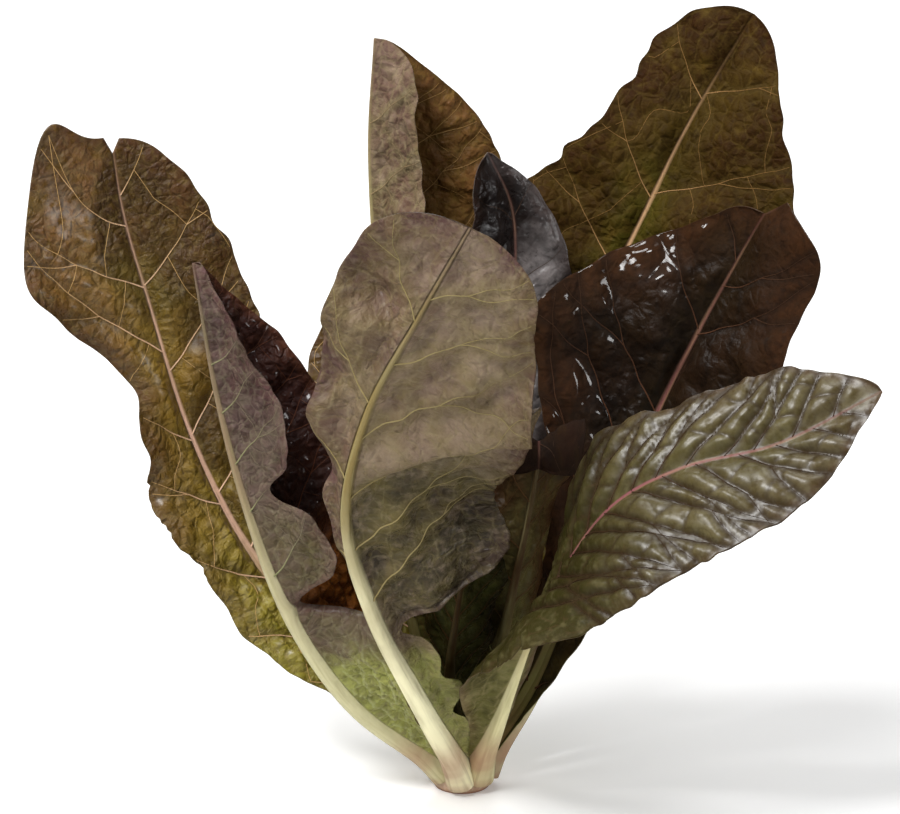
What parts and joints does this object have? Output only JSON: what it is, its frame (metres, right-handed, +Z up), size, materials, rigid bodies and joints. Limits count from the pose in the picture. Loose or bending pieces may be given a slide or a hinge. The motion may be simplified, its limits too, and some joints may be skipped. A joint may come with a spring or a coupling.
{
  "type": "romaine lettuce head",
  "caption": "Head of red romaine lettuce standing on its trimmed butt, with loose oblong bronze and maroon leaves spreading from a short pale stem.",
  "frame": {"origin": "centre of the flat cut face under the stem", "axes": "+Z up along the stem, -Y towards the viewer of the picture, +X to the viewer's right"},
  "size_m": [0.2669, 0.1771, 0.2504],
  "materials": {
    "stem": "moist cut plant tissue, satin",
    "leaf_olive": "moist leaf, satin with soft highlights",
    "leaf_mauve": "leaf underside, satin",
    "leaf_taupe": "leaf underside, matte",
    "leaf_bronze": "quilted leaf with a grey sheen, satin",
    "leaf_maroon": "wet dark leaf, glossy"
  },
  "bodies": {
    "root": {"stem": "stem", "leaf_left": "leaf_olive", "leaf_left_folded": "leaf_mauve", "leaf_front": "leaf_taupe", "leaf_back_folded": "leaf_olive", "leaf_back_right": "leaf_olive", "leaf_right_dark": "leaf_maroon", "leaf_right": "leaf_bronze", "leaf_heart_tall": "leaf_maroon", "leaf_heart_right": "leaf_maroon", "leaf_heart_front": "leaf_maroon", "leaf_heart_left": "leaf_maroon", "leaf_back": "leaf_bronze", "leaf_back_low": "leaf_bronze"}
  },
  "joints": []
}
